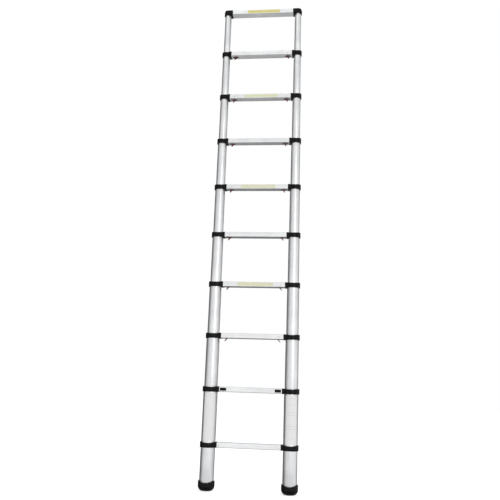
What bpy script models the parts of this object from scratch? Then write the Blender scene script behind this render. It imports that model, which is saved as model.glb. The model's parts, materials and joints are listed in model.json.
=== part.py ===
"""Telescoping ladder, fully extended: ten rungs on two stiles of nine nested round tubes.

Metres, +Z up. The feet stand on z = 0, the stiles are on the X axis, and the front, where the release
buttons are, faces -Y. Rung 1 is the lowest. The base tubes carry rungs 1 and 2; each tube above slides
down into the one below it, so rungs 3 to 10 ride on their own tubes. Every stile tube is one piece with
the plastic collars bonded to it.
"""

import math

import bmesh
import bpy
from mathutils import Matrix

RUNG_COUNT = 10
FIRST_SLIDING_RUNG = 3
RUNG_SPACING = 0.290
FIRST_RUNG_HEIGHT = 0.234
STILE_SPACING = 0.440

BASE_DIAMETER = 0.077
DIAMETER_STEP = 0.0048
TUBE_WALL = 0.0015
TUBE_OVERLAP = 0.062
BUSH_HEIGHT = 0.012

RUNG_HEIGHT = 0.028
RUNG_DEPTH = 0.045
RUNG_WALL = 0.002
RUNG_CORNER = 0.003

COLLAR_HEIGHT = 0.030
COLLAR_WALL = 0.0055
COLLAR_CHAMFER = 0.0015
SOCKET_LENGTH = 0.006
SOCKET_WALL = 0.0028

CAP_ROUNDING = 0.014

FOOT_HEIGHT = 0.052
FOOT_WALL = 0.0055
FOOT_FLOOR = 0.016
FOOT_ROUNDING = 0.026
FOOT_SCOOP = 0.009

PIN_RADIUS = 0.0035
PIN_BORE_CLEARANCE = 0.0004

TRIGGER_TO_COLLAR = 0.039
TRIGGER_DROP = -0.008
TRIGGER_LENGTH = 0.029
TRIGGER_THICKNESS = 0.004
TRIGGER_WIDTH = 0.012
TRIGGER_HUB_RADIUS = 0.0032
CRANK_LENGTH = 0.0085
TRIGGER_ANGLE = math.radians(45.0)
CRANK_ANGLE = math.radians(22.5)
CRANK_TO_PIN = 0.003

BUTTON_LENGTH = 0.034
BUTTON_HEIGHT = 0.016
BUTTON_THICKNESS = 0.005
BUTTON_TO_COLLAR = 0.004
BUTTON_TRAVEL = 0.008
BUTTON_NECK_LENGTH = 0.012
BUTTON_NECK_HEIGHT = 0.006

GAP = 0.0003
PAST = 0.002
SEGMENTS = 24
SMALL_SEGMENTS = 10

SIDES = (("left", -1.0), ("right", 1.0))


def rung_height(rung):
    """Height of a rung's centre line."""
    return FIRST_RUNG_HEIGHT + (rung - 1) * RUNG_SPACING


def tube_radius(rung):
    """Outer radius of the stile tube whose top collar holds this rung."""
    steps = max(0, rung - FIRST_SLIDING_RUNG + 1)
    return (BASE_DIAMETER - steps * DIAMETER_STEP) / 2


def collar_edge(rung):
    """Distance from the ladder's middle plane to the inboard face of a rung's collars."""
    return STILE_SPACING / 2 - tube_radius(rung) - COLLAR_WALL - SOCKET_LENGTH


def rung_end(rung):
    """Distance from the ladder's middle plane to the end of a rung, inside its socket."""
    return collar_edge(rung) + SOCKET_LENGTH - GAP


def clear_scene():
    for obj in list(bpy.data.objects):
        bpy.data.objects.remove(obj, do_unlink=True)
    for collection in list(bpy.data.collections):
        bpy.data.collections.remove(collection)


def new_collection(name):
    collection = bpy.data.collections.new(name)
    bpy.context.scene.collection.children.link(collection)
    return collection


def new_material(name, colour, roughness, metallic):
    material = bpy.data.materials.new(name)
    material.use_nodes = True
    shader = material.node_tree.nodes["Principled BSDF"]
    shader.inputs["Base Color"].default_value = (*colour, 1.0)
    shader.inputs["Roughness"].default_value = roughness
    shader.inputs["Metallic"].default_value = metallic
    return material


def new_object(name, mesh, collection, material=None):
    obj = bpy.data.objects.new(name, mesh)
    collection.objects.link(obj)
    if material:
        mesh.materials.append(material)
    return obj


def as_cutter(obj):
    obj.hide_render = True
    obj.display_type = "WIRE"
    return obj


def box_mesh(name, low, high, bevel=0.0, bevel_edges_along=None):
    """A box from its two corners. The bevel rounds all its edges, or only those along one axis."""
    bm = bmesh.new()
    bmesh.ops.create_cube(bm, size=1.0)
    size = [high[axis] - low[axis] for axis in range(3)]
    middle = [(high[axis] + low[axis]) / 2 for axis in range(3)]
    bmesh.ops.scale(bm, vec=size, verts=bm.verts)
    bmesh.ops.translate(bm, vec=middle, verts=bm.verts)
    if bevel:
        edges = [edge for edge in bm.edges if runs_along(edge, bevel_edges_along)]
        bmesh.ops.bevel(bm, geom=edges, offset=bevel, segments=1, profile=0.5, affect="EDGES")
    return finished_mesh(name, bm)


def runs_along(edge, axis):
    if axis is None:
        return True
    direction = (edge.verts[1].co - edge.verts[0].co).normalized()
    return abs(direction[axis]) > 0.99


def rod_mesh(name, radius, low, high, axis, segments=SMALL_SEGMENTS):
    """A round rod whose axis is parallel to a frame axis, through the centres of its end faces."""
    bm = bmesh.new()
    length = high[axis] - low[axis]
    bmesh.ops.create_cone(
        bm, cap_ends=True, segments=segments, radius1=radius, radius2=radius, depth=length
    )
    turn = {0: Matrix.Rotation(math.pi / 2, 4, "Y"), 1: Matrix.Rotation(math.pi / 2, 4, "X")}
    bmesh.ops.transform(bm, matrix=turn.get(axis, Matrix.Identity(4)), verts=bm.verts)
    middle = [(high[i] + low[i]) / 2 for i in range(3)]
    bmesh.ops.translate(bm, vec=middle, verts=bm.verts)
    return finished_mesh(name, bm)


def finished_mesh(name, bm):
    bmesh.ops.recalc_face_normals(bm, faces=bm.faces)
    mesh = bpy.data.meshes.new(name)
    bm.to_mesh(mesh)
    bm.free()
    return mesh


def turned_object(name, profile, closed, collection, material, segments=SEGMENTS):
    """A solid of revolution about Z. The profile runs down its outer side, in (radius, height) pairs."""
    mesh = bpy.data.meshes.new(name)
    bm = bmesh.new()
    points = [bm.verts.new((radius, 0.0, height)) for radius, height in profile]
    pairs = list(zip(points, points[1:]))
    if closed:
        pairs.append((points[-1], points[0]))
    for pair in pairs:
        bm.edges.new(pair)
    bm.to_mesh(mesh)
    bm.free()
    obj = new_object(name, mesh, collection, material)
    screw = obj.modifiers.new("Turn", "SCREW")
    screw.steps = segments
    screw.render_steps = segments
    screw.use_merge_vertices = True
    screw.merge_threshold = 0.00001
    return obj


def add_boolean(obj, other, operation):
    modifier = obj.modifiers.new(other.name, "BOOLEAN")
    modifier.operation = operation
    modifier.object = other


def shade(obj, angle=35.0):
    obj.data.shade_smooth()
    obj.data.set_sharp_from_angle(angle=math.radians(angle))


def ring_profile(radius, top, bottom):
    """The outer side of a collar's ring, from its top edge to its bottom edge, with small chamfers."""
    outside = radius + COLLAR_WALL
    return [
        (outside - COLLAR_CHAMFER, top),
        (outside, top - COLLAR_CHAMFER),
        (outside, bottom + COLLAR_CHAMFER),
        (outside - COLLAR_CHAMFER, bottom),
        (radius, bottom),
    ]


def guide_lip(rung):
    """The collar's top lip, which guides the next tube: its inner radius, and the tube's own bore."""
    return tube_radius(rung + 1) + GAP, tube_radius(rung) - TUBE_WALL


def tube_end_profile(rung):
    """A sliding tube's lower end, down its outer side and in: the bush fills the bore of the tube below."""
    radius = tube_radius(rung)
    bush = tube_radius(rung - 1) - TUBE_WALL - GAP
    bottom = rung_height(rung - 1) + COLLAR_HEIGHT / 2 - TUBE_OVERLAP
    bush_top = bottom + BUSH_HEIGHT
    return [(radius, bush_top), (bush, bush_top), (bush, bottom), (radius - TUBE_WALL, bottom)]


def sliding_stile_profile(rung):
    """A sliding tube with its collar: outer side down, then the bore up to the guide lip."""
    top = rung_height(rung) + COLLAR_HEIGHT / 2
    bottom = top - COLLAR_HEIGHT
    lip, bore = guide_lip(rung)
    profile = ring_profile(tube_radius(rung), top, bottom)
    profile += tube_end_profile(rung)
    profile += [(bore, top - COLLAR_WALL), (lip, top - COLLAR_WALL + bore - lip), (lip, top)]
    return profile


def base_stile_profile():
    """The base tube from its foot, with the two collars of the fixed rungs."""
    radius = tube_radius(1)
    lip, bore = guide_lip(FIRST_SLIDING_RUNG - 1)
    top = rung_height(2) + COLLAR_HEIGHT / 2
    lower_top = rung_height(1) + COLLAR_HEIGHT / 2
    tube_bottom = FOOT_FLOOR + GAP
    profile = ring_profile(radius, top, top - COLLAR_HEIGHT)
    profile += [(radius, lower_top)]
    profile += ring_profile(radius, lower_top, lower_top - COLLAR_HEIGHT)
    profile += [(radius, tube_bottom), (bore, tube_bottom)]
    profile += [(bore, top - COLLAR_WALL), (lip, top - COLLAR_WALL + bore - lip), (lip, top)]
    return profile


def top_stile_profile():
    """The top tube, closed above by its elbow cap."""
    radius = tube_radius(RUNG_COUNT)
    top = rung_height(RUNG_COUNT) + COLLAR_HEIGHT / 2
    bore = radius - TUBE_WALL
    profile = [(0.0, top)] + ring_profile(radius, top, top - COLLAR_HEIGHT)
    profile += tube_end_profile(RUNG_COUNT)
    profile += [(bore, top - COLLAR_WALL), (0.0, top - COLLAR_WALL)]
    return profile


def socket_block(name, side, rung, cutters):
    """The collar's socket for the rung's end: a block to the collar's edge, from inside the ring or,
    in a top cap, from the tube's axis.
    """
    centre = side * STILE_SPACING / 2
    inboard = side * collar_edge(rung)
    reach = 0.0 if rung == RUNG_COUNT else tube_radius(rung) - TUBE_WALL / 2
    outboard = centre - side * reach
    half_depth = RUNG_DEPTH / 2 + SOCKET_WALL
    z = rung_height(rung)
    low = (min(inboard, outboard), -half_depth, z - COLLAR_HEIGHT / 2)
    high = (max(inboard, outboard), half_depth, z + COLLAR_HEIGHT / 2)
    mesh = box_mesh(name, low, high, RUNG_CORNER, bevel_edges_along=0)
    return as_cutter(new_object(name, mesh, cutters))


def rung_pocket(name, side, rung, cutters):
    """The space that the rung's end takes inside its socket."""
    inboard = side * (collar_edge(rung) - PAST)
    bottom = side * (collar_edge(rung) + SOCKET_LENGTH)
    half_depth = RUNG_DEPTH / 2 + GAP
    half_height = RUNG_HEIGHT / 2 + GAP
    z = rung_height(rung)
    low = (min(inboard, bottom), -half_depth, z - half_height)
    high = (max(inboard, bottom), half_depth, z + half_height)
    mesh = box_mesh(name, low, high, RUNG_CORNER, bevel_edges_along=0)
    return as_cutter(new_object(name, mesh, cutters))


def pin_bore(name, side, rung, cutters):
    """The bore for a lock pin, from the socket through the ring and the tube's wall."""
    centre = side * STILE_SPACING / 2
    start = side * (collar_edge(rung) + SOCKET_LENGTH - PAST)
    end = centre - side * (tube_radius(rung) - TUBE_WALL - PAST)
    z = rung_height(rung)
    low = (min(start, end), 0.0, z)
    high = (max(start, end), 0.0, z)
    mesh = rod_mesh(name, PIN_RADIUS + PIN_BORE_CLEARANCE, low, high, axis=0)
    return as_cutter(new_object(name, mesh, cutters))


def make_stile(name, side, rungs, profile, ladder, cutters, material):
    """A stile tube, bonded to the collars of the rungs that it carries."""
    obj = turned_object(name, profile, rungs[-1] < RUNG_COUNT, ladder, material)
    obj.location.x = side * STILE_SPACING / 2
    for rung in rungs:
        block = socket_block(f"cut_socket_{name}_{rung}", side, rung, cutters)
        trim_to_ring(block, side, rung, cutters)
        add_boolean(obj, block, "UNION")
        add_boolean(obj, rung_pocket(f"cut_pocket_{name}_{rung}", side, rung, cutters), "DIFFERENCE")
        if 1 < rung < RUNG_COUNT:
            add_boolean(obj, pin_bore(f"cut_bore_{name}_{rung}", side, rung, cutters), "DIFFERENCE")
        if rung == RUNG_COUNT:
            add_boolean(obj, cap_corner(f"cut_corner_{name}", side, cutters), "DIFFERENCE")
    shade(obj)
    return obj


def trim_to_ring(block, side, rung, cutters):
    """Takes the tube's bore out of a socket block, so that the block stays outside the tube's wall."""
    z = rung_height(rung)
    centre = side * STILE_SPACING / 2
    low = (centre, 0.0, z - COLLAR_HEIGHT)
    top = z + COLLAR_HEIGHT
    if rung == RUNG_COUNT:
        top = z + COLLAR_HEIGHT / 2 - COLLAR_WALL - GAP
    high = (centre, 0.0, top)
    name = block.name.replace("socket", "tube")
    mesh = rod_mesh(name, tube_radius(rung) - TUBE_WALL / 2, low, high, axis=2, segments=SEGMENTS)
    add_boolean(block, as_cutter(new_object(name, mesh, cutters)), "DIFFERENCE")


def cap_corner(name, side, cutters):
    """Everything outside the rounded upper outboard corner of a top cap."""
    top = rung_height(RUNG_COUNT) + COLLAR_HEIGHT / 2
    outer = STILE_SPACING / 2 + tube_radius(RUNG_COUNT) + COLLAR_WALL
    outline = [(outer + PAST, top - CAP_ROUNDING), (outer + PAST, top + PAST)]
    outline.append((outer - CAP_ROUNDING, top + PAST))
    for step in range(7):
        angle = math.pi / 2 * (1 - step / 6)
        x = outer + CAP_ROUNDING * (math.cos(angle) - 1)
        outline.append((x, top + CAP_ROUNDING * (math.sin(angle) - 1)))
    half_depth = RUNG_DEPTH / 2 + SOCKET_WALL + PAST
    bm = bmesh.new()
    front = [bm.verts.new((side * x, -half_depth, z)) for x, z in outline]
    back = [bm.verts.new((side * x, half_depth, z)) for x, z in outline]
    bm.faces.new(front)
    bm.faces.new(back[::-1])
    for index, point in enumerate(front):
        following = (index + 1) % len(front)
        bm.faces.new((point, back[index], back[following], front[following]))
    return as_cutter(new_object(name, finished_mesh(name, bm), cutters))


def make_foot(name, side, ladder, cutters, material):
    """A rubber cup under the base tube: a flat sole, a rounded toe, and a rim dipped at front and back."""
    inside = BASE_DIAMETER / 2 + GAP
    outside = inside + FOOT_WALL
    profile = [(0.0, FOOT_FLOOR), (inside, FOOT_FLOOR), (inside, FOOT_HEIGHT)]
    profile += [(outside - 0.002, FOOT_HEIGHT), (outside, FOOT_HEIGHT - 0.003)]
    for step in range(6):
        angle = math.pi / 2 * step / 5
        x = outside - FOOT_ROUNDING * (1 - math.cos(angle))
        profile.append((x, FOOT_ROUNDING * (1 - math.sin(angle))))
    profile += [(0.0, 0.0)]
    obj = turned_object(name, profile, False, ladder, material)
    obj.location.x = side * STILE_SPACING / 2
    radius = (outside**2 + FOOT_SCOOP**2) / (2 * FOOT_SCOOP)
    centre = FOOT_HEIGHT - FOOT_SCOOP + radius
    low = (obj.location.x, -outside - PAST, centre)
    high = (obj.location.x, outside + PAST, centre)
    scoop = rod_mesh(f"cut_scoop_{name}", radius, low, high, axis=1, segments=96)
    add_boolean(obj, as_cutter(new_object(scoop.name, scoop, cutters)), "DIFFERENCE")
    shade(obj)
    return obj


def make_rung(rung, ladder, cutters, material):
    """A hollow extruded rung, open at both ends, with slots for the triggers or the release buttons."""
    name = f"rung_{rung:02d}"
    z = rung_height(rung)
    end = rung_end(rung)
    half = (end, RUNG_DEPTH / 2, RUNG_HEIGHT / 2)
    mesh = box_mesh(name, (-half[0], -half[1], -half[2]), half, RUNG_CORNER, bevel_edges_along=0)
    obj = new_object(name, mesh, ladder, material)
    obj.location.z = z
    inner = (end + PAST, half[1] - RUNG_WALL, half[2] - RUNG_WALL)
    low = (-inner[0], -inner[1], z - inner[2])
    high = (inner[0], inner[1], z + inner[2])
    core = box_mesh(f"cut_core_{name}", low, high, RUNG_CORNER - RUNG_WALL / 2, bevel_edges_along=0)
    add_boolean(obj, as_cutter(new_object(core.name, core, cutters)), "DIFFERENCE")
    for label, side in SIDES:
        if FIRST_SLIDING_RUNG <= rung < RUNG_COUNT:
            add_boolean(obj, trigger_slot(f"cut_slot_{name}_{label}", side, rung, cutters), "DIFFERENCE")
        if rung == FIRST_SLIDING_RUNG - 1:
            add_boolean(obj, button_slot(f"cut_slot_{name}_{label}", side, rung, cutters), "DIFFERENCE")
    shade(obj)
    return obj


def trigger_pivot(side, rung):
    """The pivot of a trigger, inside its rung just above the bottom wall."""
    return side * (collar_edge(rung) - TRIGGER_TO_COLLAR), rung_height(rung) + TRIGGER_DROP


def trigger_slot(name, side, rung, cutters):
    """The slot in the rung's underside that a trigger folds up into."""
    pivot_x, pivot_z = trigger_pivot(side, rung)
    inboard = pivot_x - side * (TRIGGER_HUB_RADIUS + 2 * GAP)
    outboard = pivot_x + side * (TRIGGER_LENGTH + 0.004)
    half_width = TRIGGER_WIDTH / 2 + 0.001
    low = (min(inboard, outboard), -half_width, pivot_z - 0.012)
    high = (max(inboard, outboard), half_width, pivot_z)
    return as_cutter(new_object(name, box_mesh(name, low, high), cutters))


def button_slot(name, side, rung, cutters):
    """The slot in the rung's front wall that a release button's neck slides along."""
    outboard = side * (button_outer_end(rung) - (BUTTON_LENGTH - BUTTON_NECK_LENGTH) / 2 + 0.001)
    inboard = outboard - side * (BUTTON_NECK_LENGTH + BUTTON_TRAVEL + 0.002)
    half_height = BUTTON_NECK_HEIGHT / 2 + 2 * GAP
    z = rung_height(rung)
    low = (min(inboard, outboard), -RUNG_DEPTH / 2 - PAST, z - half_height)
    high = (max(inboard, outboard), -RUNG_DEPTH / 2 + RUNG_WALL + PAST, z + half_height)
    return as_cutter(new_object(name, box_mesh(name, low, high), cutters))


def pin_tip(rung):
    """Distance from the ladder's middle plane to a lock pin's tip, just short of the tube inside."""
    return STILE_SPACING / 2 - tube_radius(rung + 1) - GAP


def make_trigger(rung, label, side, ladder, cutters, material):
    """A bell crank on its hub: a finger hanging outboard and down, and an arm up to the lock pin."""
    name = f"trigger_{rung:02d}_{label}"
    half_width = TRIGGER_WIDTH / 2
    hub_half = half_width + GAP
    hub = rod_mesh(
        name, TRIGGER_HUB_RADIUS, (0.0, -hub_half, 0.0), (0.0, hub_half, 0.0), axis=1
    )
    obj = new_object(name, hub, ladder, material)
    pivot_x, pivot_z = trigger_pivot(side, rung)
    obj.location = (pivot_x, 0.0, pivot_z)
    half_thickness = TRIGGER_THICKNESS / 2
    finger = box_mesh(
        f"cut_finger_{name}",
        (0.0, -half_width, -half_thickness),
        (TRIGGER_LENGTH, half_width, half_thickness),
        0.0012,
        bevel_edges_along=1,
    )
    crank = box_mesh(
        f"cut_crank_{name}",
        (0.0, -0.003, -half_thickness / 2),
        (CRANK_LENGTH, 0.003, half_thickness / 2),
    )
    turns = ((finger, TRIGGER_ANGLE), (crank, CRANK_ANGLE - math.pi / 2))
    for mesh, angle in turns:
        mesh.transform(Matrix.Rotation(angle, 4, "Y"))
        if side < 0:
            mesh.transform(Matrix.Rotation(math.pi, 4, "Z"))
        arm = as_cutter(new_object(mesh.name, mesh, cutters))
        arm.location = obj.location
        add_boolean(obj, arm, "UNION")
    shade(obj)
    return obj


def make_lock_pin(rung, label, side, ladder, material):
    """A steel pin from the crank inside the rung, through the collar, towards the tube inside."""
    name = f"lock_pin_{rung:02d}_{label}"
    pivot_x = trigger_pivot(side, rung)[0]
    tail = abs(pivot_x) + CRANK_LENGTH * math.sin(CRANK_ANGLE) + CRANK_TO_PIN
    tip = pin_tip(rung)
    low = (side * tail, 0.0, 0.0)
    high = (side * tip, 0.0, 0.0)
    if side < 0:
        low, high = high, low
    mesh = rod_mesh(name, PIN_RADIUS, low, high, axis=0)
    obj = new_object(name, mesh, ladder, material)
    obj.location.z = rung_height(rung)
    shade(obj)
    return obj


def button_outer_end(rung):
    return collar_edge(rung) - BUTTON_TO_COLLAR


def make_release_button(label, side, ladder, cutters, material):
    """A slide button on the front of rung 2, in one piece with the lock pin it draws back."""
    rung = FIRST_SLIDING_RUNG - 1
    name = f"release_button_{label}"
    front = -RUNG_DEPTH / 2
    outer = button_outer_end(rung)
    inner = outer - BUTTON_LENGTH
    neck_middle = (outer + inner) / 2
    knob_low = (inner, front - GAP - BUTTON_THICKNESS, -BUTTON_HEIGHT / 2)
    knob_high = (outer, front - GAP, BUTTON_HEIGHT / 2)
    neck_low = (neck_middle - BUTTON_NECK_LENGTH / 2, front - GAP - 0.001, -BUTTON_NECK_HEIGHT / 2)
    neck_high = (neck_middle + BUTTON_NECK_LENGTH / 2, PIN_RADIUS / 2, BUTTON_NECK_HEIGHT / 2)
    knob = box_mesh(name, knob_low, knob_high, 0.0012)
    neck = box_mesh(f"cut_neck_{name}", neck_low, neck_high)
    pin = rod_mesh(
        f"cut_pin_{name}", PIN_RADIUS, (neck_middle, 0.0, 0.0), (pin_tip(rung), 0.0, 0.0), axis=0
    )
    obj = new_object(name, knob, ladder, material)
    obj.location.z = rung_height(rung)
    for mesh in (neck, pin):
        piece = as_cutter(new_object(mesh.name, mesh, cutters))
        piece.location = obj.location
        add_boolean(obj, piece, "UNION")
        if side < 0:
            mesh.transform(Matrix.Rotation(math.pi, 4, "Z") @ Matrix.Scale(-1, 4, (0, 1, 0)))
            mesh.flip_normals()
    if side < 0:
        knob.transform(Matrix.Rotation(math.pi, 4, "Z") @ Matrix.Scale(-1, 4, (0, 1, 0)))
        knob.flip_normals()
    shade(obj)
    return obj


def main():
    clear_scene()
    ladder = new_collection("telescoping_ladder")
    cutters = new_collection("cutters")
    tube_metal = new_material("satin_aluminium_tube", (0.72, 0.73, 0.74), 0.32, 1.0)
    rung_metal = new_material("satin_aluminium_rung", (0.80, 0.81, 0.82), 0.38, 1.0)
    rubber = new_material("black_rubber", (0.02, 0.02, 0.02), 0.75, 0.0)
    red_plastic = new_material("red_plastic", (0.45, 0.02, 0.03), 0.4, 0.0)
    black_plastic = new_material("black_plastic", (0.02, 0.02, 0.022), 0.45, 0.0)
    steel = new_material("zinc_steel", (0.6, 0.6, 0.6), 0.35, 1.0)

    for label, side in SIDES:
        make_foot(f"foot_{label}", side, ladder, cutters, rubber)
        make_stile(f"stile_base_{label}", side, (1, 2), base_stile_profile(), ladder, cutters, tube_metal)
        for rung in range(FIRST_SLIDING_RUNG, RUNG_COUNT + 1):
            profile = sliding_stile_profile(rung) if rung < RUNG_COUNT else top_stile_profile()
            name = f"stile_{rung:02d}_{label}"
            make_stile(name, side, (rung,), profile, ladder, cutters, tube_metal)
        for rung in range(FIRST_SLIDING_RUNG, RUNG_COUNT):
            make_trigger(rung, label, side, ladder, cutters, red_plastic)
            make_lock_pin(rung, label, side, ladder, steel)
        make_release_button(label, side, ladder, cutters, black_plastic)
    for rung in range(1, RUNG_COUNT + 1):
        make_rung(rung, ladder, cutters, rung_metal)


main()
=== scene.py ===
"""Looks of the telescoping ladder: fine tubes, collars, rungs, triggers and labels around the CAD frame."""

import json
import math

import bmesh
import bpy
from mathutils import Matrix, Vector


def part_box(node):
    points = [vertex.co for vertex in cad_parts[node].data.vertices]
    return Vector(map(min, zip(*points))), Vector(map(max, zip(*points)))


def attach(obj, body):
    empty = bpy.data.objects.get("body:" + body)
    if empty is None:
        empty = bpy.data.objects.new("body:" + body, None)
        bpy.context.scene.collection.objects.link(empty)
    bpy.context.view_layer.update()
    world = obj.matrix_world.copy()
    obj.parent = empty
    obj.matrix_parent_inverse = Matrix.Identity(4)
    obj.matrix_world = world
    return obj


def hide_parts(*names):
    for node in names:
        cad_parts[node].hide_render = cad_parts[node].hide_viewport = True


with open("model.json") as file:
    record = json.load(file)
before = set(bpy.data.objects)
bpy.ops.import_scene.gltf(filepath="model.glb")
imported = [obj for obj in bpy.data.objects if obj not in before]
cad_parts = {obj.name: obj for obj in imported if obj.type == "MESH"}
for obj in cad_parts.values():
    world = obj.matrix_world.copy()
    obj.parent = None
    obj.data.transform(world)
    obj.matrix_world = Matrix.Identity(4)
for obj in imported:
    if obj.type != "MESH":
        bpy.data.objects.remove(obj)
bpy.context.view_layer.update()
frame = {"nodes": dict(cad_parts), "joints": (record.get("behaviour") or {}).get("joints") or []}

RUNGS = range(1, 11)
FIRST_SLIDING = 3
SIDES = (("left", -1.0), ("right", 1.0))

COLLAR_HEIGHT = 0.030
COLLAR_WALL = 0.0055
SOCKET_LENGTH = 0.006
SOCKET_WALL = 0.0028
TUBE_WALL = 0.0015
RUNG_WALL = 0.002
BUSH_HEIGHT = 0.012
COLLAR_SCOOP = 0.0055
CAP_ROUNDING = 0.014
FOOT_ROUNDING = 0.026
FOOT_FLOOR = 0.016
FOOT_SCOOP = 0.009
GAP = 0.0003
FIT = 0.00005
ROUND = 96
FILM = 0.00018

TRIGGER_LENGTH = 0.029
TRIGGER_WIDTH = 0.012
TRIGGER_HANG = math.radians(45.0)
CRANK_LENGTH = 0.0085
CRANK_LEAN = math.radians(22.5)
BUTTON_LENGTH = 0.034
PIN_RADIUS = 0.0035

RUNG_LABELS = (4, 6, 8, 10)
BASE_LABEL_TURN, BASE_LABEL_HALF_ANGLE = 0.10, 0.80

CAMERA_PLACE = (0.345, -3.367, 0.5)
CAMERA_YAW, CAMERA_PITCH, CAMERA_ROLL = 6.37, 13.4, -2.02
CAMERA_LENS = 43.7


def body_of_rung(rung):
    return "base" if rung < FIRST_SLIDING else f"section_{rung:02d}"


def stile_node(rung, label):
    return f"stile_base_{label}" if rung < FIRST_SLIDING else f"stile_{rung:02d}_{label}"


def rung_box(rung):
    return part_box(f"rung_{rung:02d}")


def rung_z(rung):
    low, high = rung_box(rung)
    return (low.z + high.z) / 2


def stile_x(side):
    low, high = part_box("foot_left" if side < 0 else "foot_right")
    return (low.x + high.x) / 2


def tube_radius(rung):
    """Outer radius of the tube that carries this rung, from how far its CAD collar reaches outboard."""
    low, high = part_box(stile_node(rung, "right"))
    return high.x - stile_x(1.0) - COLLAR_WALL


def collar_edge(rung):
    """Distance from the middle plane to the inboard face of a rung's collars."""
    return stile_x(1.0) - tube_radius(rung) - COLLAR_WALL - SOCKET_LENGTH


# Materials -------------------------------------------------------------------------------------


class Nodes:
    """A material's node tree, with short calls for the nodes used here."""

    def __init__(self, name, colour, roughness, metallic=0.0):
        self.material = bpy.data.materials.new(name)
        self.material.use_nodes = True
        self.tree = self.material.node_tree
        self.shader = self.tree.nodes["Principled BSDF"]
        self.shader.inputs["Base Color"].default_value = (*colour, 1.0)
        self.shader.inputs["Roughness"].default_value = roughness
        self.shader.inputs["Metallic"].default_value = metallic
        self.place = self.add("ShaderNodeTexCoord").outputs["Object"]

    def add(self, kind, **settings):
        node = self.tree.nodes.new(kind)
        for key, value in settings.items():
            setattr(node, key, value)
        return node

    def link(self, source, target):
        self.tree.links.new(source, target)

    def stretched(self, scale):
        mapping = self.add("ShaderNodeMapping")
        mapping.inputs["Scale"].default_value = scale
        self.link(self.place, mapping.inputs["Vector"])
        return mapping.outputs["Vector"]

    def noise(self, scale, detail=3.0, stretch=(1.0, 1.0, 1.0)):
        noise = self.add("ShaderNodeTexNoise")
        noise.inputs["Scale"].default_value = scale
        noise.inputs["Detail"].default_value = detail
        self.link(self.stretched(stretch), noise.inputs["Vector"])
        return noise.outputs["Fac"]

    def spread(self, value, low, high, from_low=0.3, from_high=0.7):
        """Maps a value to a range of numbers."""
        node = self.add("ShaderNodeMapRange")
        node.inputs["From Min"].default_value = from_low
        node.inputs["From Max"].default_value = from_high
        node.inputs["To Min"].default_value = low
        node.inputs["To Max"].default_value = high
        self.link(value, node.inputs["Value"])
        return node.outputs["Result"]

    def tint(self, value, dark, light):
        """Maps a value to a colour between two."""
        ramp = self.add("ShaderNodeValToRGB")
        ramp.color_ramp.elements[0].position = 0.3
        ramp.color_ramp.elements[1].position = 0.7
        ramp.color_ramp.elements[0].color = (*dark, 1.0)
        ramp.color_ramp.elements[1].color = (*light, 1.0)
        self.link(value, ramp.inputs["Fac"])
        return ramp.outputs["Color"]

    def bump(self, value, strength, distance):
        node = self.add("ShaderNodeBump")
        node.inputs["Strength"].default_value = strength
        node.inputs["Distance"].default_value = distance
        self.link(value, node.inputs["Height"])
        self.link(node.outputs["Normal"], self.shader.inputs["Normal"])

    def set_colour(self, colour):
        self.link(colour, self.shader.inputs["Base Color"])

    def set_roughness(self, value):
        self.link(value, self.shader.inputs["Roughness"])


def satin_aluminium(name, grain, shade, rough):
    """Anodised extruded aluminium: fine die lines along one axis, with faint clouding across them."""
    made = Nodes(name, (0.8, 0.8, 0.8), 0.3, 1.0)
    lines = made.noise(1.0, 4.0, grain)
    clouds = made.noise(14.0, 4.0)
    dark = tuple(shade * c for c in (0.74, 0.75, 0.765))
    light = tuple(shade * c for c in (0.86, 0.865, 0.87))
    made.set_colour(made.tint(clouds, dark, light))
    made.set_roughness(made.spread(lines, *rough))
    made.bump(lines, 0.25, 0.00006)
    return made.material


def moulded_black(name, base, rough, bump_distance=0.00005):
    """Moulded black plastic or rubber with a fine spark-eroded grain and slightly rubbed high spots."""
    made = Nodes(name, (base, base, base), rough)
    wear = made.noise(35.0, 5.0)
    made.shader.inputs["Specular IOR Level"].default_value = 0.17
    made.set_colour(made.tint(wear, (base * 0.7,) * 3, (base * 1.7, base * 1.7, base * 1.75)))
    made.set_roughness(made.spread(wear, rough - 0.07, rough + 0.09))
    made.bump(made.noise(1400.0, 2.0), 0.35, bump_distance)
    return made.material


def moulded_red():
    made = Nodes("red_plastic", (0.4, 0.01, 0.015), 0.4)
    clouds = made.noise(60.0, 4.0)
    made.set_colour(made.tint(clouds, (0.13, 0.004, 0.008), (0.22, 0.008, 0.013)))
    made.set_roughness(made.spread(clouds, 0.32, 0.48))
    made.bump(made.noise(1200.0, 2.0), 0.25, 0.00004)
    return made.material


def zinc_steel():
    made = Nodes("zinc_steel", (0.6, 0.6, 0.6), 0.3, 1.0)
    clouds = made.noise(90.0, 4.0)
    made.set_colour(made.tint(clouds, (0.42, 0.42, 0.43), (0.60, 0.60, 0.60)))
    made.set_roughness(made.spread(clouds, 0.25, 0.42))
    made.bump(made.noise(700.0, 3.0), 0.2, 0.00004)
    return made.material


def label_film(name, dark, light, rough=0.35):
    """Self-adhesive film: faint print mottle and a soft gloss."""
    made = Nodes(name, light, rough)
    mottle = made.noise(55.0, 5.0)
    made.set_colour(made.tint(mottle, dark, light))
    made.set_roughness(made.spread(mottle, rough - 0.06, rough + 0.08))
    made.bump(made.noise(320.0, 2.0), 0.15, 0.00005)
    return made.material


# Mesh building ---------------------------------------------------------------------------------


def mesh_object(name, bm, material, smooth_angle=40.0):
    bmesh.ops.recalc_face_normals(bm, faces=bm.faces)
    mesh = bpy.data.meshes.new(name)
    bm.to_mesh(mesh)
    bm.free()
    return finished_object(name, mesh, material, smooth_angle)


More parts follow.
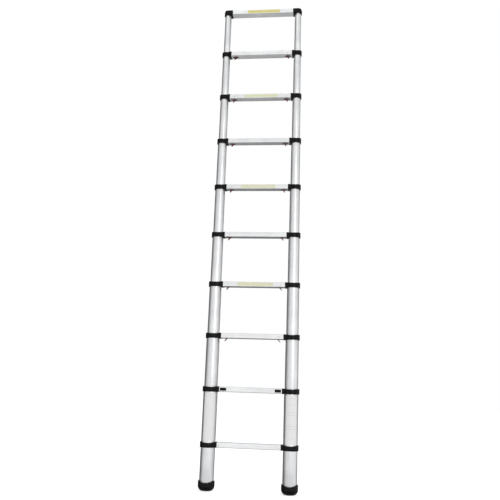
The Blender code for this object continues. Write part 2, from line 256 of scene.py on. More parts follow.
def finished_object(name, mesh, material, smooth_angle=40.0):
    mesh.materials.clear()
    mesh.materials.append(material)
    mesh.shade_smooth()
    mesh.set_sharp_from_angle(angle=math.radians(smooth_angle))
    obj = bpy.data.objects.new(name, mesh)
    bpy.context.scene.collection.objects.link(obj)
    return obj


def applied(obj):
    """Replaces an object's mesh by its evaluated one, and removes its modifiers."""
    bpy.context.view_layer.update()
    mesh = bpy.data.meshes.new_from_object(obj.evaluated_get(bpy.context.evaluated_depsgraph_get()))
    obj.modifiers.clear()
    obj.data = mesh
    return obj


def carve(obj, others):
    """Joins or cuts other meshes, given as (operation, object), and removes them."""
    for operation, other in others:
        modifier = obj.modifiers.new(other.name, "BOOLEAN")
        modifier.operation = operation
        modifier.object = other
    applied(obj)
    for _, other in others:
        bpy.data.objects.remove(other, do_unlink=True)
    return obj


def smooth_by_angle(obj, angle):
    obj.data.shade_smooth()
    obj.data.set_sharp_from_angle(angle=math.radians(angle))
    return obj


def soften(obj, width, segments=2, angle=35.0):
    """Rounds the sharp edges of a mesh and keeps its flat faces flat."""
    bevel = obj.modifiers.new("Edges", "BEVEL")
    bevel.width = width
    bevel.segments = segments
    bevel.limit_method = "ANGLE"
    bevel.angle_limit = math.radians(angle)
    bevel.harden_normals = True
    return applied(obj)


def turned(name, profile, material, closed=True, segments=ROUND, smooth_angle=40.0):
    """A solid of revolution about Z from (radius, height) points. An open profile ends on the axis."""
    bm = bmesh.new()
    points = [bm.verts.new((radius, 0.0, height)) for radius, height in profile]
    edges = [bm.edges.new(pair) for pair in zip(points, points[1:])]
    if closed:
        edges.append(bm.edges.new((points[-1], points[0])))
    bmesh.ops.spin(
        bm,
        geom=points + edges,
        cent=(0, 0, 0),
        axis=(0, 0, 1),
        angle=math.tau,
        steps=segments,
        use_merge=True,
    )
    bmesh.ops.remove_doubles(bm, verts=bm.verts, dist=0.000005)
    return mesh_object(name, bm, material, smooth_angle)


def arc(centre, radius, start, end, steps):
    """Points on an arc, with the angles in degrees from +X (or +radius) towards +Z."""
    points = []
    for step in range(steps + 1):
        angle = math.radians(start + (end - start) * step / steps)
        points.append((centre[0] + radius * math.cos(angle), centre[1] + radius * math.sin(angle)))
    return points


def rounded_box(name, low, high, radius, material, segments=3):
    bm = bmesh.new()
    bmesh.ops.create_cube(bm, size=1.0)
    size = Vector(high) - Vector(low)
    bmesh.ops.scale(bm, vec=size, verts=bm.verts)
    bmesh.ops.translate(bm, vec=(Vector(high) + Vector(low)) / 2, verts=bm.verts)
    if radius:
        bmesh.ops.bevel(
            bm, geom=bm.edges[:], offset=radius, segments=segments, profile=0.5, affect="EDGES"
        )
    return mesh_object(name, bm, material)


def extruded(name, outline, start, end, axis, material, smooth_angle=30.0):
    """An outline of two coordinates pushed along the third axis: X with (y, z), or Y with (x, z)."""
    def place(point, along):
        return (along, point[0], point[1]) if axis == "X" else (point[0], along, point[1])

    bm = bmesh.new()
    face = bm.faces.new([bm.verts.new(place(point, start)) for point in outline])
    pushed = bmesh.ops.extrude_face_region(bm, geom=[face])
    moved = [item for item in pushed["geom"] if isinstance(item, bmesh.types.BMVert)]
    shift = Vector(place((0.0, 0.0), end)) - Vector(place((0.0, 0.0), start))
    bmesh.ops.translate(bm, vec=shift, verts=moved)
    return mesh_object(name, bm, material, smooth_angle)


def rod(name, radius, start, end, material, segments=32):
    """A round rod between two points, with softly rounded ends."""
    start, end = Vector(start), Vector(end)
    length = (end - start).length
    edge = radius * 0.18
    profile = [(0.0, 0.0), (radius - edge, 0.0), (radius, edge)]
    profile += [(radius, length - edge), (radius - edge, length), (0.0, length)]
    obj = turned(name, profile, material, closed=False, segments=segments)
    turn = (end - start).to_track_quat("Z", "Y").to_matrix().to_4x4()
    obj.data.transform(Matrix.Translation(start) @ turn)
    return obj


def placed(obj, body, slot, *nodes):
    """Puts a piece on its body and hides the CAD nodes that it stands for; the slot argument is not used."""
    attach(obj, body)
    if nodes:
        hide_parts(*nodes)
    return obj


# Stiles ----------------------------------------------------------------------------------------


def tube_span(rung, label):
    """Lowest and highest height of a tube; its top stays inside its collar, below the dip of its rim."""
    low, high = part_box(stile_node(rung, label))
    return low.z, high.z - COLLAR_SCOOP - 0.003


def make_tube(rung, label, side, material):
    """A drawn tube with rounded rims. The sliding ones carry a plastic bush on their lower end."""
    radius = tube_radius(rung)
    bottom, top = tube_span(rung, label)
    rim = 0.0005
    inner = radius - TUBE_WALL
    profile = arc((inner + rim, top - rim), rim, 180, 90, 3)
    profile += arc((radius - rim, top - rim), rim, 90, 0, 3)
    profile += arc((radius - rim, bottom + rim), rim, 0, -90, 3)
    profile += arc((inner + rim, bottom + rim), rim, -90, -180, 3)
    name = f"tube_base_{label}" if rung < FIRST_SLIDING else f"tube_{rung:02d}_{label}"
    obj = turned(name, profile, material)
    obj.location.x = stile_x(side)
    return placed(obj, body_of_rung(rung), "stile_tube", stile_node(rung, label))


def make_bush(rung, label, side, material):
    """The bush on a sliding tube's lower end, which runs in the tube below."""
    outside = tube_radius(rung - 1) - TUBE_WALL - GAP
    inside = tube_radius(rung) + FIT
    bottom = tube_span(rung, label)[0]
    top = bottom + BUSH_HEIGHT
    profile = [(inside, top), (outside - 0.0002, top), (outside, top - 0.0008)]
    profile += [(outside, bottom + 0.0008), (outside - 0.0002, bottom), (inside, bottom)]
    obj = turned(f"tube_bush_{rung:02d}_{label}", profile, material)
    obj.location.x = stile_x(side)
    return placed(obj, body_of_rung(rung), "collar_plastic")


def collar_ring_profile(rung, z):
    """A ring collar: rounded shoulders, a shallow parting groove, and a guide lip for the next tube."""
    radius = tube_radius(rung)
    outside = radius + COLLAR_WALL
    inside = radius + FIT
    top, bottom = z + COLLAR_HEIGHT / 2, z - COLLAR_HEIGHT / 2
    shoulder, groove = 0.0022, 0.0006
    profile = []
    if rung == 1:
        profile += [(inside, top)]
    else:
        lip = tube_radius(rung + 1) + GAP
        ledge = top - COLLAR_SCOOP - 0.0026
        profile += [(inside, ledge), (lip + 0.0006, ledge), (lip, ledge + 0.0006)]
        profile += [(lip, top - 0.0006), (lip + 0.0006, top)]
    profile += arc((outside - shoulder, top - shoulder), shoulder, 90, 0, 5)
    seam = bottom + 0.0075
    profile += [(outside, seam + groove), (outside - groove, seam + groove / 3)]
    profile += [(outside - groove, seam - groove / 3), (outside, seam - groove)]
    profile += arc((outside - shoulder, bottom + shoulder), shoulder, 0, -90, 5)
    profile += [(inside, bottom)]
    return profile


def cap_profile(rung, z):
    """A top cap's ring, closed above."""
    radius = tube_radius(rung)
    outside = radius + COLLAR_WALL
    inside = radius + FIT
    top, bottom = z + COLLAR_HEIGHT / 2, z - COLLAR_HEIGHT / 2
    shoulder = 0.002
    profile = [(0.0, top - COLLAR_SCOOP - 0.0025), (inside, top - COLLAR_SCOOP - 0.0025), (inside, bottom)]
    profile += arc((outside - shoulder, bottom + shoulder), shoulder, -90, 0, 5)
    profile += arc((outside - shoulder, top - shoulder), shoulder, 0, 90, 5)
    profile += [(0.0, top)]
    return profile


def scoop_cutter(radius, depth, top, side, material):
    """A wide cylinder across a ring: it dips the ring's rim at front and back, and leaves its sides."""
    wide = (radius**2 + depth**2) / (2 * depth)
    centre = top - depth + wide
    bm = bmesh.new()
    bmesh.ops.create_cone(bm, cap_ends=True, segments=256, radius1=wide, radius2=wide, depth=4 * radius)
    bmesh.ops.rotate(bm, verts=bm.verts, matrix=Matrix.Rotation(math.pi / 2, 3, "X"))
    bmesh.ops.translate(bm, verts=bm.verts, vec=(stile_x(side), 0, centre))
    return mesh_object("cut_scoop", bm, material)


def cap_corner_cutter(z, side, material):
    """Everything outside the rounded upper outboard corner of a top cap."""
    top = z + COLLAR_HEIGHT / 2
    outer = stile_x(1.0) + tube_radius(RUNGS[-1]) + COLLAR_WALL
    outline = [(outer + 0.003, top - CAP_ROUNDING), (outer + 0.003, top + 0.003)]
    outline += [(outer - CAP_ROUNDING, top + 0.003)]
    outline += arc((outer - CAP_ROUNDING, top - CAP_ROUNDING), CAP_ROUNDING, 90, 0, 20)
    outline = [(side * x, height) for x, height in outline]
    return extruded("cut_corner", outline, -0.04, 0.04, "Y", material)


def make_collar(rung, label, side, material):
    """A collar or top cap: the turned ring joined to the socket that holds the rung's end."""
    z = rung_z(rung)
    capped = rung == RUNGS[-1]
    name = f"top_cap_{label}" if capped else f"collar_{rung:02d}_{label}"
    profile = cap_profile(rung, z) if capped else collar_ring_profile(rung, z)
    obj = turned(name, profile, material, closed=not capped)
    obj.data.transform(Matrix.Translation((stile_x(side), 0, 0)))
    low, high = rung_box(rung)
    half_depth = high.y + SOCKET_WALL
    inboard = side * collar_edge(rung)
    outboard = side * (stile_x(1.0) - tube_radius(rung) * (0.0 if capped else 0.72))
    ends = sorted((inboard, outboard))
    box_low = (ends[0], -half_depth, z - COLLAR_HEIGHT / 2 + 0.0002)
    box_high = (ends[1], half_depth, z + COLLAR_HEIGHT / 2 - 0.0002)
    block = rounded_box("cut_block", box_low, box_high, 0.0026, material, 4)
    bore = rod(
        "cut_bore",
        tube_radius(rung) + FIT,
        (stile_x(side), 0, z - COLLAR_HEIGHT),
        (stile_x(side), 0, z + (COLLAR_HEIGHT / 2 - COLLAR_SCOOP - 0.0027 if capped else COLLAR_HEIGHT)),
        material,
        ROUND,
    )
    carve(block, [("DIFFERENCE", bore)])
    ends = sorted((inboard - side * 0.003, inboard + side * SOCKET_LENGTH))
    pocket_low = (ends[0], low.y - GAP, low.z - GAP)
    pocket_high = (ends[1], high.y + GAP, high.z + GAP)
    pocket = rounded_box("cut_pocket", pocket_low, pocket_high, 0.0, material)
    steps = [("UNION", block), ("DIFFERENCE", pocket)]
    if 1 < rung < RUNGS[-1]:
        start = (inboard + side * (SOCKET_LENGTH - 0.002), 0, z)
        end = (side * (stile_x(1.0) - tube_radius(rung) + 0.003), 0, z)
        steps.append(("DIFFERENCE", rod("cut_pin_bore", 0.0039, start, end, material)))
    if capped:
        steps.append(("DIFFERENCE", cap_corner_cutter(z, side, material)))
    else:
        radius = tube_radius(rung) + COLLAR_WALL
        top = z + COLLAR_HEIGHT / 2
        steps.append(("DIFFERENCE", scoop_cutter(radius, COLLAR_SCOOP, top, side, material)))
    carve(obj, steps)
    smooth_by_angle(obj, 32.0)
    return placed(obj, body_of_rung(rung), "collar_plastic", stile_node(rung, label))


def make_foot(label, side, material):
    """A rubber foot: a cup with a dipped rim, a rounded toe with fine ribs, and a ringed flat sole."""
    low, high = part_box(f"foot_{label}")
    outside = (high.x - low.x) / 2
    inside = tube_radius(1) + GAP
    top = high.z
    sole = 0.0015
    profile = [(0.0, FOOT_FLOOR), (inside, FOOT_FLOOR), (inside, top - 0.001), (inside + 0.0008, top)]
    profile += arc((outside - 0.0016, top - 0.0016), 0.0016, 90, 0, 4)
    profile += [(outside, FOOT_ROUNDING + 0.0006)]
    middle = (outside - FOOT_ROUNDING, FOOT_ROUNDING)
    for start in range(0, 84, 14):
        profile += arc(middle, FOOT_ROUNDING, -start, -start - 10, 3)
        profile += arc(middle, FOOT_ROUNDING - 0.0007, -start - 11.2, -start - 12.8, 1)
    profile += arc(middle, FOOT_ROUNDING, -84, -90, 2)
    ring = outside - FOOT_ROUNDING
    while ring > 0.009:
        profile += [(ring - 0.0024, 0.0), (ring - 0.0030, sole), (ring - 0.0046, sole), (ring - 0.0052, 0.0)]
        ring -= 0.0058
    profile += [(0.0, 0.0)]
    obj = turned(f"rubber_foot_{label}", profile, material, closed=False)
    obj.data.transform(Matrix.Translation((stile_x(side), 0, 0)))
    carve(obj, [("DIFFERENCE", scoop_cutter(outside, FOOT_SCOOP, top + 0.0003, side, material))])
    smooth_by_angle(obj, 35.0)
    return placed(obj, "base", "foot_rubber", f"foot_{label}")


# Rungs -----------------------------------------------------------------------------------------


def groove(depth, middle, half_width):
    """Four (place, depth) points of a shallow groove."""
    slope = depth * 0.6
    return [
        (middle - half_width, 0.0),
        (middle - half_width + slope, depth),
        (middle + half_width - slope, depth),
        (middle + half_width, 0.0),
    ]


def rung_outline(half_depth, half_height, z):
    """The rung's section: grooved front and back, a ribbed tread on top, two shallow channels below."""
    corner = 0.003
    points = []
    points += arc((half_depth - corner, half_height - corner), corner, 0, 90, 5)
    rib_pitch, rib_count, rib_depth = 0.0038, 9, 0.0008
    for index in range(rib_count):
        middle = (rib_count - 1) / 2 * rib_pitch - index * rib_pitch
        flank = groove(rib_depth, -middle, rib_pitch * 0.26)
        points += [(-along, half_height - deep) for along, deep in flank]
    points += arc((-half_depth + corner, half_height - corner), corner, 90, 180, 5)
    for along, deep in reversed(groove(0.0005, 0.0015, 0.0009)):
        points.append((-half_depth + deep, along))
    points += arc((-half_depth + corner, -half_height + corner), corner, 180, 270, 5)
    for middle in (-0.011, 0.011):
        points += [(along, -half_height + deep) for along, deep in groove(0.0004, middle, 0.0012)]
    points += arc((half_depth - corner, -half_height + corner), corner, 270, 360, 5)
    for along, deep in groove(0.0005, 0.0015, 0.0009):
        points.append((half_depth - deep, along))
    return [(y, z + height) for y, height in points]


def make_rung(rung, material):
    """A hollow extruded rung with the slots that its triggers or release buttons need."""
    low, high = rung_box(rung)
    z = rung_z(rung)
    half_depth, half_height = high.y, (high.z - low.z) / 2
    name = f"rung_profile_{rung:02d}"
    obj = extruded(name, rung_outline(half_depth, half_height, z), low.x, high.x, "X", material)
    core = rounded_box(
        "cut_core",
        (low.x - 0.01, -half_depth + RUNG_WALL, low.z + RUNG_WALL),
        (high.x + 0.01, half_depth - RUNG_WALL, high.z - RUNG_WALL),
        0.0015,
        material,
    )
    steps = [("DIFFERENCE", core)]
    for label, side in SIDES:
        if FIRST_SLIDING <= rung < RUNGS[-1]:
            steps.append(("DIFFERENCE", trigger_slot(rung, label, side, material)))
        if rung == FIRST_SLIDING - 1:
            steps.append(("DIFFERENCE", button_slot(label, side, material)))
    carve(obj, steps)
    smooth_by_angle(obj, 25.0)
    return placed(obj, body_of_rung(rung), "rung_extrusion", f"rung_{rung:02d}")


def joint_place(name):
    for joint in frame["joints"]:
        if joint["name"] == name:
            return Vector(joint["pos_m"])
    raise KeyError(name)


def trigger_pivot(rung, label):
    return joint_place(f"trigger_{rung:02d}_{label}_fold")


def trigger_slot(rung, label, side, material):
    """The slot in the underside that the trigger folds into, with rounded ends."""
    pivot = trigger_pivot(rung, label)
    ends = sorted((pivot.x - side * 0.0040, pivot.x + side * (TRIGGER_LENGTH + 0.0038)))
    half_width = TRIGGER_WIDTH / 2 + 0.0011
    low = (ends[0], -half_width, pivot.z - 0.0125)
    high = (ends[1], half_width, pivot.z + 0.0005)
    return rounded_box("cut_trigger_slot", low, high, 0.0, material)


def button_slot(label, side, material):
    """The slot in rung 2's front wall that the release button's neck slides along."""
    low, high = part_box(f"release_button_{label}")
    z = (low.z + high.z) / 2
    inner, outer = button_span(label)
    middle = (inner + outer) / 2
    ends = sorted((side * (middle + 0.0072), side * (middle - 0.0152)))
    front = rung_box(FIRST_SLIDING - 1)[0].y
    low, high = (ends[0], front - 0.002, z - 0.0037), (ends[1], front + 0.006, z + 0.0037)
    return rounded_box("cut_button_slot", low, high, 0.0, material)


def button_span(label):
    """Inner and outer distance of a release button's knob from the middle plane."""
    low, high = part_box(f"release_button_{label}")
    inner = min(abs(low.x), abs(high.x))
    return inner, inner + BUTTON_LENGTH


# Triggers, buttons, rivets, labels ---------------------------------------------------------------


def lever_outline(path):
    """The two long sides of a bent lever, from (point, half width) stations."""
    left, right = [], []
    count = len(path)
    for index, (point, half) in enumerate(path):
        before = Vector(path[max(index - 1, 0)][0])
        after = Vector(path[min(index + 1, count - 1)][0])
        along = (after - before).normalized()
        across = Vector((-along.y, along.x))
        left.append(Vector(point) + across * half)
        right.append(Vector(point) - across * half)
    return [tuple(p) for p in left], [tuple(p) for p in right]


def end_cap(point, half, direction, steps=6):
    """Half a circle round the end of a lever, from its left side to its right."""
    start = math.atan2(direction.y, direction.x) + math.pi / 2
    points = []
    for step in range(1, steps):
        angle = start - math.pi * step / steps
        points.append((point[0] + half * math.cos(angle), point[1] + half * math.sin(angle)))
    return points


def trigger_mesh(side, material):
    """A bell crank about its pivot: a finger that hangs outboard, and a short arm up to the lock pin."""
    down = TRIGGER_HANG
    finger = []
    for share, half in ((0.0, 0.0031), (0.2, 0.0026), (0.45, 0.0023), (0.7, 0.0021), (0.94, 0.0021)):
        bow = 0.0016 * math.sin(math.pi * share)
        reach = TRIGGER_LENGTH * share
        x = reach * math.cos(down) + bow * math.sin(down)
        z = -reach * math.sin(down) + bow * math.cos(down)
        finger.append(((x, z), half))
    left, right = lever_outline(finger)
    tip_direction = Vector((math.cos(down + 0.12), -math.sin(down + 0.12)))
    tip = end_cap(finger[-1][0], finger[-1][1], tip_direction)
    heel = end_cap(finger[0][0], finger[0][1], Vector((-math.cos(down), math.sin(down))))
    outline = left + tip + right[::-1] + heel
    half_width = TRIGGER_WIDTH / 2
    obj = extruded("trigger_mesh", outline, -half_width, half_width, "Y", material)
    crank_end = (CRANK_LENGTH * math.sin(CRANK_LEAN) * 0.9, CRANK_LENGTH * math.cos(CRANK_LEAN) * 0.9)
    crank_left, crank_right = lever_outline([((0.0, 0.0), 0.0018), (crank_end, 0.0011)])
    crank_tip = end_cap(crank_end, 0.0011, Vector((math.sin(CRANK_LEAN), math.cos(CRANK_LEAN))))
    crank = extruded("cut_crank", crank_left + crank_tip + crank_right[::-1], -0.003, 0.003, "Y", material)
    hub = rod("cut_hub", 0.0033, (0, -half_width - 0.0003, 0), (0, half_width + 0.0003, 0), material)
    hole = rod("cut_hole", 0.0014, (0, -0.02, 0), (0, 0.02, 0), material)
    carve(obj, [("UNION", crank), ("UNION", hub), ("DIFFERENCE", hole)])
    soften(obj, 0.0004)
    if side < 0:
        obj.data.transform(Matrix.Rotation(math.pi, 4, "Z"))
    smooth_by_angle(obj, 30.0)
    mesh = obj.data
    bpy.data.objects.remove(obj, do_unlink=True)
    return mesh


def make_triggers(red, steel):
    meshes = {label: trigger_mesh(side, red) for label, side in SIDES}
    for rung in range(FIRST_SLIDING, RUNGS[-1]):
        for label, side in SIDES:
            pivot = trigger_pivot(rung, label)
            name = f"trigger_{rung:02d}_{label}"
            lever = bpy.data.objects.new(f"{name}_lever", meshes[label])
            bpy.context.scene.collection.objects.link(lever)
            lever.location = pivot
            placed(lever, name, "trigger_plastic", name)
            half = rung_box(rung)[1].y - RUNG_WALL - 0.0002
            start = pivot + Vector((0, -half, 0))
            end = pivot + Vector((0, half, 0))
            axle = rod(f"trigger_axle_{rung:02d}_{label}", 0.0012, start, end, steel)
            placed(axle, body_of_rung(rung), "pin_steel")


def make_button(label, side, plastic, steel):
    """A release button: a ribbed knob on its carriage, with the steel lock pin set into it."""
    node = f"release_button_{label}"
    low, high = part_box(node)
    z = (low.z + high.z) / 2
    half_height = (high.z - low.z) / 2
    inner, outer = button_span(label)
    middle = (inner + outer) / 2
    front = rung_box(FIRST_SLIDING - 1)[0].y
    ends = sorted((side * inner, side * outer))
    knob = rounded_box(
        f"release_knob_{label}",
        (ends[0], low.y + 0.0010, z - half_height),
        (ends[1], front - GAP, z + half_height),
        0.0011,
        plastic,
    )
    steps = []
    rib_pitch = 0.0042
    for index in range(5):
        x = side * (middle + (index - 2) * rib_pitch)
        rib_low = (x - 0.0009, low.y, z - half_height + 0.0016)
        rib_high = (x + 0.0009, low.y + 0.003, z + half_height - 0.0016)
        rib = rounded_box(f"cut_rib_{index}", rib_low, rib_high, 0.0005, plastic, 2)
        steps.append(("UNION", rib))
    neck_low = (min(side * (middle - 0.006), side * (middle + 0.006)), front - GAP - 0.001, z - 0.003)
    neck_high = (max(side * (middle - 0.006), side * (middle + 0.006)), 0.0052, z + 0.003)
    steps.append(("UNION", rounded_box("cut_neck", neck_low, neck_high, 0.0, plastic)))
    carriage_ends = sorted((side * (middle - 0.009), side * (middle + 0.009)))
    carriage_low = (carriage_ends[0], -0.0055, z - 0.0055)
    carriage_high = (carriage_ends[1], 0.0055, z + 0.0055)
    steps.append(("UNION", rounded_box("cut_carriage", carriage_low, carriage_high, 0.001, plastic)))
    bore_end = (side * (middle + 0.02), 0, z)
    bore = rod("cut_bore", PIN_RADIUS + FIT, (side * middle, 0, z), bore_end, plastic)
    steps.append(("DIFFERENCE", bore))
    carve(knob, steps)
    smooth_by_angle(knob, 35.0)
    placed(knob, node, "collar_plastic", node)
    tip = max(abs(low.x), abs(high.x))
    start = (side * (middle + 0.0001), 0, z)
    pin = rod(f"release_pin_{label}", PIN_RADIUS, start, (side * tip, 0, z), steel)
    placed(pin, node, "pin_steel", node)


def make_rivets(steel):
    """A domed rivet near each end of the rung fronts, with none on rung 2 or on the top rung."""
    radius, height = 0.0026, 0.0009
    inset = 0.026
    for rung in RUNGS[:-1]:
        if rung == FIRST_SLIDING - 1:
            continue
        front = rung_box(rung)[0].y
        for label, side in SIDES:
            distance = collar_edge(rung) - (0.010 if rung == 1 else inset)
            profile = [(0.0, height)]
            for angle in map(math.radians, (25, 45, 65, 82)):
                profile.append((radius * math.sin(angle), height * math.cos(angle)))
            profile += [(radius, -0.0004), (0.0, -0.0004)]
            obj = turned(f"rivet_{rung:02d}_{label}", profile, steel, closed=False, segments=32)
            obj.data.transform(Matrix.Rotation(math.pi / 2, 4, "X"))
            obj.location = (side * distance, front, rung_z(rung) - 0.0035)
            placed(obj, body_of_rung(rung), "pin_steel")


def make_rung_labels(material, pale_material, print_material):
    """Plain yellow films on four rung fronts; the top one has blank generic bars for its print."""
    length, offset = 0.203, 0.0065
    for rung in RUNG_LABELS:
        front = rung_box(rung)[0].y
        z = rung_z(rung) + 0.0005
        height = 0.0205 if rung == RUNGS[-1] else 0.0185
        low = (offset - length / 2, front - FILM, z - height / 2)
        high = (offset + length / 2, front + 0.0001, z + height / 2)
        sheet = material if rung == RUNGS[-1] else pale_material
        film = rounded_box(f"rung_label_{rung:02d}", low, high, 0.00007, sheet, 1)
        placed(film, body_of_rung(rung), "label_film")
        if rung != RUNGS[-1]:
            continue
        bars = ((-0.086, 0.022, 0.003), (-0.055, 0.046, 0.003), (0.002, 0.052, 0.003), (0.066, 0.022, 0.003))
        for index, (start, size, rise) in enumerate(bars):
            bar_low = (offset + start, front - FILM - 0.00006, z - rise)
            bar_high = (offset + start + size, front - FILM + 0.00003, z + rise)
            bar = rounded_box(f"rung_label_bar_{rung:02d}_{index}", bar_low, bar_high, 0.0, print_material)
            placed(bar, body_of_rung(rung), "label_film")


def wrapped_film(name, side, turn, half_angle, bottom, top, lift, thick, material):
    """A film wrapped on a base tube, centred on a direction given in radians from the front."""
    radius = tube_radius(1) + lift
    columns = max(4, int(half_angle * 40))
    bm = bmesh.new()
    grid = []
    for shell in (radius, radius + thick):
        layer = []
        for z in (bottom, top):
            line = []
            for column in range(columns + 1):
                angle = turn + half_angle * (2 * column / columns - 1)
                line.append(bm.verts.new((shell * math.sin(angle), -shell * math.cos(angle), z)))
            layer.append(line)
        grid.append(layer)
    for layer in grid:
        for column in range(columns):
            bm.faces.new((layer[0][column], layer[0][column + 1], layer[1][column + 1], layer[1][column]))
    inner, outer = grid
    for column in range(columns):
        for row in (0, 1):
            bm.faces.new(
                (inner[row][column], outer[row][column], outer[row][column + 1], inner[row][column + 1])
            )
    for column in (0, columns):
        bm.faces.new((inner[0][column], inner[1][column], outer[1][column], outer[0][column]))
    obj = mesh_object(name, bm, material)
    obj.location.x = stile_x(side)
    return placed(obj, "base", "label_film")


def make_base_labels(white, ink):
    """Pale films on both base tubes between rungs 1 and 2; the right one has generic grey print lines."""
    gap = COLLAR_HEIGHT / 2 + 0.006
    bottom, top = rung_z(1) + gap, rung_z(2) - gap
    for label, side in SIDES:
        direction = (BASE_LABEL_TURN, BASE_LABEL_HALF_ANGLE)
        wrapped_film(f"base_label_{label}", side, *direction, bottom, top, 0.00005, 0.00015, white)
    lines = ((0.10, 0.30), (0.30, 0.60), (0.36, 0.52), (0.58, 0.62), (0.64, 0.56))
    lines += ((0.80, 0.60), (0.94, 0.66))
    for index, (share, half_angle) in enumerate(lines):
        z = bottom + (top - bottom) * share
        direction = (BASE_LABEL_TURN, half_angle)
        wrapped_film(f"base_label_line_{index}", 1.0, *direction, z, z + 0.0014, 0.0002, 0.00005, ink)


# Stage -----------------------------------------------------------------------------------------


def make_floor():
    bm = bmesh.new()
    bmesh.ops.create_circle(bm, cap_ends=True, segments=96, radius=30.0)
    floor = mesh_object("floor", bm, floor_material())
    floor.location.z = -0.0005
    floor.visible_glossy = False
    floor.visible_diffuse = False


def floor_material():
    made = Nodes("pale_floor", (0.93, 0.93, 0.93), 0.8)
    clouds = made.noise(3.0, 3.0)
    made.set_colour(made.tint(clouds, (0.92, 0.92, 0.92), (0.95, 0.95, 0.95)))
    made.shader.inputs["Emission Color"].default_value = (1.0, 1.0, 1.0, 1.0)
    made.shader.inputs["Emission Strength"].default_value = 0.62
    return made.material


class World:
    """The studio surround's node tree, with short calls for its arithmetic."""

    def __init__(self):
        self.world = bpy.data.worlds.new("studio")
        self.world.use_nodes = True
        self.tree = self.world.node_tree
        self.tree.nodes.clear()
        bpy.context.scene.world = self.world

    def add(self, kind):
        return self.tree.nodes.new(kind)

    def link(self, source, target):
        self.tree.links.new(source, target)

    def straight(self, value, slope, offset):
        node = self.add("ShaderNodeMath")
        node.operation = "MULTIPLY_ADD"
        self.link(value, node.inputs[0])
        node.inputs[1].default_value = slope
        node.inputs[2].default_value = offset
        return node.outputs[0]

    def combined(self, operation, first, second):
        node = self.add("ShaderNodeMath")
        node.operation = operation
        self.link(first, node.inputs[0])
        self.link(second, node.inputs[1])
        return node.outputs[0]

    def times(self, first, second):
        return self.combined("MULTIPLY", first, second)

    def plus(self, first, second):
        return self.combined("ADD", first, second)

    def steps(self, value, stops):
        ramp = self.add("ShaderNodeValToRGB")
        elements = ramp.color_ramp.elements
        while len(elements) < len(stops):
            elements.new(0.5)
        for element, (position, level) in zip(elements, stops):
            element.position = position
            element.color = (level, level, level, 1.0)
        self.link(value, ramp.inputs["Fac"])
        return ramp.outputs["Color"]

    def blend(self, share, first, second):
        node = self.add("ShaderNodeMix")
        node.data_type = "FLOAT"
        self.link(share, node.inputs[0])
        self.link(first, node.inputs[2])
        self.link(second, node.inputs[3])
        return node.outputs[0]


# Light levels by direction, as (place from 0 to 1, level).
FRONT_TO_BACK = (
    (0.0, 1.0),
    (0.12, 1.0),
    (0.36, 0.90),
    (0.52, 0.70),
    (0.64, 0.36),
    (0.78, 0.11),
    (1.0, 0.10),
)
LOW_TO_HIGH = ((0.0, 1.06), (0.45, 1.06), (0.54, 1.02), (0.66, 0.92), (0.80, 0.84), (1.0, 0.84))
FLOOR_FRONT_TO_BACK = ((0.0, 0.16), (0.30, 0.16), (0.62, 0.53), (1.0, 0.53))
FLOOR_BELOW = ((0.0, 0.0), (0.38, 0.0), (0.52, 1.0))


def make_world():
    """A studio surround: white to the camera, bright in front, dim at the sides and dark behind."""
    made = World()
    split = made.add("ShaderNodeSeparateXYZ")
    made.link(made.add("ShaderNodeTexCoord").outputs["Generated"], split.inputs["Vector"])
    turned_back = made.straight(split.outputs["Y"], 0.46, 0.5)
    turned_back = made.plus(turned_back, made.straight(split.outputs["X"], -0.195, 0.0))
    level = made.steps(turned_back, FRONT_TO_BACK)
    level = made.times(level, made.steps(made.straight(split.outputs["Z"], 0.5, 0.5), LOW_TO_HIGH))
    below = made.steps(made.straight(split.outputs["Z"], -1.0, 0.0), FLOOR_BELOW)
    floor_level = made.steps(made.straight(split.outputs["Y"], 0.5, 0.5), FLOOR_FRONT_TO_BACK)
    level = made.blend(below, level, floor_level)
    room = made.add("ShaderNodeBackground")
    made.link(level, room.inputs["Color"])
    backdrop = made.add("ShaderNodeBackground")
    backdrop.inputs["Color"].default_value = (1.0, 1.0, 1.0, 1.0)
    mix = made.add("ShaderNodeMixShader")
    made.link(made.add("ShaderNodeLightPath").outputs["Is Camera Ray"], mix.inputs[0])
    made.link(room.outputs[0], mix.inputs[1])
    made.link(backdrop.outputs[0], mix.inputs[2])
    made.link(mix.outputs[0], made.add("ShaderNodeOutputWorld").inputs["Surface"])


def area_light(name, place, target, size, power):
    data = bpy.data.lights.new(name, "AREA")
    data.shape = "RECTANGLE"
    data.size, data.size_y = size
    data.energy = power
    obj = bpy.data.objects.new(name, data)
    bpy.context.scene.collection.objects.link(obj)
    obj.location = place
    obj.rotation_mode = "QUATERNION"
    obj.rotation_quaternion = (Vector(target) - Vector(place)).to_track_quat("-Z", "Y")


def make_lights():
    area_light("strip_softbox", (1.6, -3.7, 2.0), (0, 0, 1.4), (0.7, 3.6), 20)
    area_light("rear_softbox", (-0.5, 4.2, 2.7), (0, 0, 1.5), (3.4, 3.2), 20)
    area_light("top_softbox", (-0.8, -2.6, 6.0), (0, 0, 1.2), (3.0, 3.0), 10)


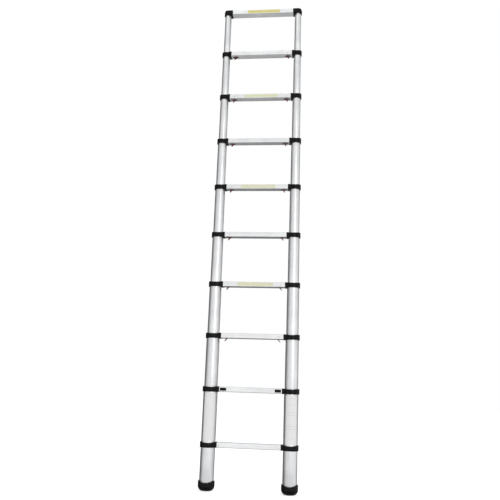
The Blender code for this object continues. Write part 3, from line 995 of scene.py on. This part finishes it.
def make_camera():
    data = bpy.data.cameras.new("camera")
    data.lens = CAMERA_LENS
    data.sensor_width = 36.0
    data.clip_start = 0.05
    camera = bpy.data.objects.new("camera", data)
    bpy.context.scene.collection.objects.link(camera)
    camera.location = CAMERA_PLACE
    turn = Matrix.Rotation(math.radians(CAMERA_YAW), 4, "Z")
    tilt = Matrix.Rotation(math.radians(90.0 + CAMERA_PITCH), 4, "X")
    roll = Matrix.Rotation(math.radians(-CAMERA_ROLL), 4, "Z")
    camera.rotation_mode = "QUATERNION"
    camera.rotation_quaternion = (turn @ tilt @ roll).to_quaternion()
    bpy.context.scene.camera = camera


def main():
    bpy.context.scene.view_settings.view_transform = "Standard"
    make_camera()
    make_world()
    make_lights()
    make_floor()

    tube_metal = satin_aluminium("tube_aluminium", (900.0, 900.0, 5.0), 1.02, (0.32, 0.44))
    rung_metal = satin_aluminium("rung_aluminium", (5.0, 900.0, 900.0), 1.06, (0.26, 0.38))
    collar_plastic = moulded_black("black_plastic", 0.0016, 0.27)
    rubber = moulded_black("black_rubber", 0.0022, 0.42, 0.0001)
    red = moulded_red()
    steel = zinc_steel()
    yellow = label_film("yellow_film", (0.80, 0.73, 0.24), (0.86, 0.79, 0.32))
    pale_yellow = label_film("pale_yellow_film", (0.81, 0.82, 0.52), (0.86, 0.87, 0.62))
    yellow_print = label_film("yellow_film_print", (0.66, 0.60, 0.19), (0.72, 0.66, 0.25))
    white = label_film("white_film", (0.92, 0.92, 0.93), (0.96, 0.96, 0.97))
    ink = label_film("grey_print", (0.66, 0.66, 0.68), (0.76, 0.76, 0.78))

    for label, side in SIDES:
        make_foot(label, side, rubber)
        make_tube(1, label, side, tube_metal)
        for rung in RUNGS:
            make_collar(rung, label, side, collar_plastic)
            if rung >= FIRST_SLIDING:
                make_tube(rung, label, side, tube_metal)
                make_bush(rung, label, side, collar_plastic)
        make_button(label, side, collar_plastic, steel)
    for rung in RUNGS:
        make_rung(rung, rung_metal)
    make_triggers(red, steel)
    make_rivets(steel)
    make_rung_labels(yellow, pale_yellow, yellow_print)
    make_base_labels(white, ink)
    for name, node in frame["nodes"].items():
        if name.startswith("lock_pin"):
            node.data.materials.clear()
            node.data.materials.append(steel)


main()
